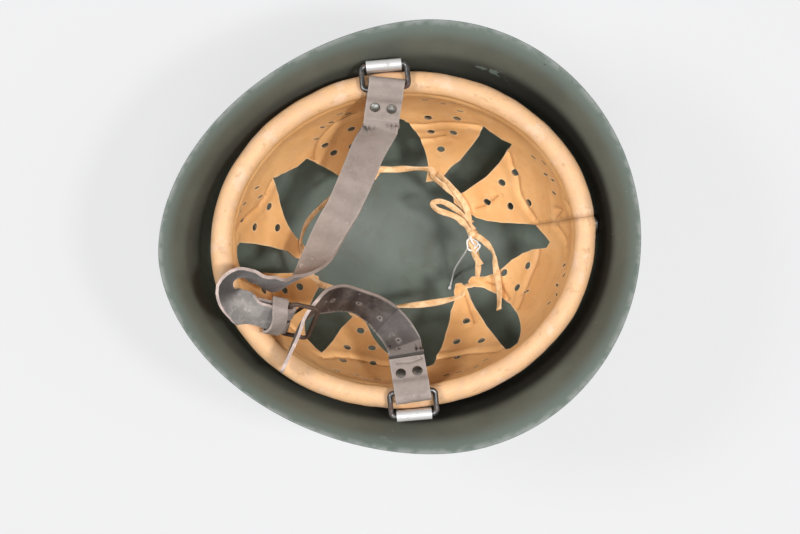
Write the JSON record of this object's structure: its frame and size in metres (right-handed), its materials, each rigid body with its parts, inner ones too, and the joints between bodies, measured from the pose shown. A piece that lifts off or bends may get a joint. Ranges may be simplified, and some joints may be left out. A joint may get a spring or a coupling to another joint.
{
  "type": "bell-rimmed steel helmet with leather liner",
  "caption": "Deep steel helmet with a flared bell rim, padded leather liner with laced tongues, and a buckled chin strap hung on wire rings; lies on its crown, bowl up.",
  "frame": {"origin": "under the middle of the helmet's bounding box, level with the crown it lies on", "axes": "+Z out of the bowl's mouth, -X to the front peak, +X to the nape, +Y to the wearer's left"},
  "size_m": [0.286, 0.256, 0.1704],
  "materials": {
    "paint": "worn matte field grey",
    "bare_steel": "zinc plated, dulled",
    "dark_steel": "dull grey, tarnished",
    "rusty_wire": "rusted",
    "felt": "wool felt",
    "tan_leather": "smooth, creased",
    "lace": "soft thong",
    "thread": "white cotton",
    "strap_leather": "dry, grey, napped"
  },
  "bodies": {
    "helmet": {"shell": "paint", "vent_rivets": "paint", "rivet_washers": "bare_steel", "liner_band": "dark_steel", "band_spacers": "dark_steel", "rim_padding": "felt", "liner_leather": "tan_leather", "tongue_nape_left": "tan_leather", "tongue_side_left_rear": "tan_leather", "tongue_side_left_front": "tan_leather", "tongue_brow_left": "tan_leather", "tongue_brow_right": "tan_leather", "tongue_side_right_front": "tan_leather", "tongue_side_right_rear": "tan_leather", "tongue_nape_right": "tan_leather", "crown_lace": "lace", "lace_bow": "lace", "lace_thread": "thread", "left_clip": "bare_steel", "right_clip": "bare_steel", "clip_rivets": "bare_steel"},
    "left_ring": {"left_ring": "dark_steel", "left_end_loop": "strap_leather", "left_loop_rivets": "dark_steel"},
    "right_ring": {"right_ring": "dark_steel", "right_end_loop": "strap_leather", "right_loop_rivets": "dark_steel"},
    "strap": {"left_strap": "strap_leather", "left_strap_bend": "strap_leather", "right_strap": "strap_leather", "right_strap_bend": "strap_leather"},
    "keeper": {"keeper_loop": "strap_leather"},
    "buckle": {"buckle_frame": "rusty_wire"},
    "prong": {"buckle_prong": "rusty_wire"}
  },
  "joints": [
    {"name": "chin_strap_swing", "type": "hinge", "parent": "helmet", "child": "strap", "pos_m": [-0.004, 0, 0.14], "axis": [0, 1, 0], "range_deg": [0, 140], "deforming": ["left_strap_bend", "right_strap_bend"]},
    {"name": "left_ring_swing", "type": "hinge", "parent": "helmet", "child": "left_ring", "pos_m": [0, 0.1046, 0.1462], "axis": [-1, 0, 0], "range_deg": [0, 12]},
    {"name": "right_ring_swing", "type": "hinge", "parent": "helmet", "child": "right_ring", "pos_m": [0, -0.1046, 0.1462], "axis": [1, 0, 0], "range_deg": [0, 12]},
    {"name": "buckle_tilt", "type": "hinge", "parent": "strap", "child": "buckle", "pos_m": [-0.0705, -0.0404, 0.152], "axis": [0.3498, 0.5997, 0.7197], "range_deg": [-8, 8]},
    {"name": "prong_swing", "type": "hinge", "parent": "buckle", "child": "prong", "pos_m": [-0.0705, -0.0404, 0.152], "axis": [0.3498, 0.5997, 0.7197], "range_deg": [0, 42]},
    {"name": "keeper_slide", "type": "slide", "parent": "strap", "child": "keeper", "axis": [-0.9319, 0.3017, 0.2016], "range_m": [0, 0.003]}
  ]
}
